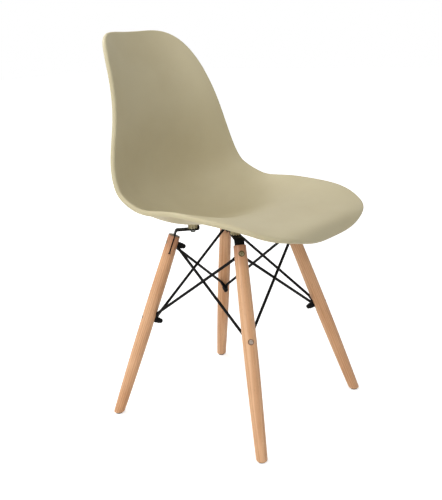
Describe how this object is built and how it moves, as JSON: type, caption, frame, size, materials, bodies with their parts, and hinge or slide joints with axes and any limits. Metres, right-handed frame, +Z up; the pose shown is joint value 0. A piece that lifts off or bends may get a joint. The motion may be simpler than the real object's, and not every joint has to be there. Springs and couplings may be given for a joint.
{
  "type": "moulded plastic shell chair",
  "caption": "Side chair with a moulded plastic shell for seat and back, on splayed turned wooden legs joined by crossed wire braces.",
  "frame": {"origin": "on the floor, under the middle of the chair, front to back and side to side", "axes": "+Z up, the front of the chair looks along -Y, +X is the right side as seen from in front of the chair"},
  "size_m": [0.4402, 0.5117, 0.815],
  "materials": {
    "shell_plastic": "satin moulded plastic, khaki beige",
    "beech": "clear satin lacquer on beech",
    "black_steel": "satin black powder coat",
    "bolt_steel": "oiled steel",
    "dark_screw_steel": "black oxide",
    "zinc_steel": "zinc plated",
    "brass": "plain",
    "glide_plastic": "matt grey-brown"
  },
  "bodies": {
    "root": {"seat_shell": "shell_plastic", "shell_inserts": "brass", "shell_screws": "dark_screw_steel", "shell_washers": "zinc_steel", "bracket_front_left": "black_steel", "bracket_front_right": "black_steel", "bracket_rear_left": "black_steel", "bracket_rear_right": "black_steel", "leg_front_left": "beech", "leg_front_right": "beech", "leg_rear_left": "beech", "leg_rear_right": "beech", "brace_front_down_left": "black_steel", "brace_front_down_right": "black_steel", "brace_right_down_left": "black_steel", "brace_right_down_right": "black_steel", "brace_rear_down_left": "black_steel", "brace_rear_down_right": "black_steel", "brace_left_down_left": "black_steel", "brace_left_down_right": "black_steel", "upper_leg_bolts": "bolt_steel", "lower_leg_bolts": "bolt_steel", "upper_dome_nuts": "black_steel", "lower_dome_nuts": "black_steel", "glides": "glide_plastic", "glide_nails": "zinc_steel"}
  },
  "joints": []
}
